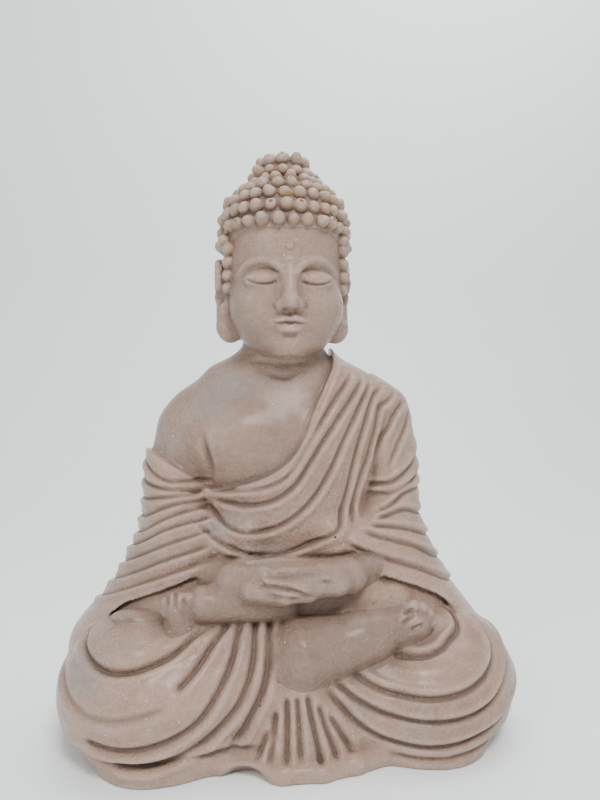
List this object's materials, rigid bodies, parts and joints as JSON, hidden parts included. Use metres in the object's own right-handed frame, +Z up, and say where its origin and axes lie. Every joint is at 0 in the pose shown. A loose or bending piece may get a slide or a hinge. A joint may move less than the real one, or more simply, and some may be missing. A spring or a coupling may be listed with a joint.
{
  "type": "seated buddha statue",
  "caption": "Seated meditating figure with crossed legs, hands in the lap, curled hair and a pleated robe; stands on its flat underside as a devotional ornament.",
  "frame": {"origin": "middle of the flat underside", "axes": "+Z up through the crown, -Y the way the figure faces, +X its own left side"},
  "size_m": [0.2998, 0.2, 0.4],
  "materials": {
    "casting": "satin taupe paint over filled polyester resin, darker in the folds",
    "skin": "satin taupe paint, faintly brushed",
    "hair": "satin taupe paint with ochre wear on the curls",
    "plate": "bare ground resin",
    "bung": "soft black rubber",
    "rod": "plain round bar"
  },
  "bodies": {
    "root": {"base_plate": "plate", "vent_bung": "bung", "neck_rod": "rod", "front_pleats": "casting", "seat_drape": "casting", "right_knee_drape": "casting", "left_knee_drape": "casting", "waist_band": "casting", "robe_mantle": "casting", "right_sleeve": "casting", "left_sleeve": "casting", "torso": "skin", "head": "skin", "forehead_dot": "skin", "right_ear": "skin", "left_ear": "skin", "right_foot": "skin", "left_foot": "skin", "right_hand": "skin", "left_hand": "skin", "hair_cap": "hair", "crown_knot": "hair", "summit_curl": "hair", "hair_curls_row_01": "hair", "hair_curls_row_02": "hair", "hair_curls_row_03": "hair", "hair_curls_row_04": "hair", "hair_curls_row_05": "hair", "hair_curls_row_06": "hair", "hair_curls_row_07": "hair", "hair_curls_row_08": "hair", "hair_curls_row_09": "hair", "hair_curls_row_10": "hair", "hair_curls_row_11": "hair", "hair_curls_row_12": "hair", "knot_curls_row_01": "hair", "knot_curls_row_02": "hair"}
  },
  "joints": []
}
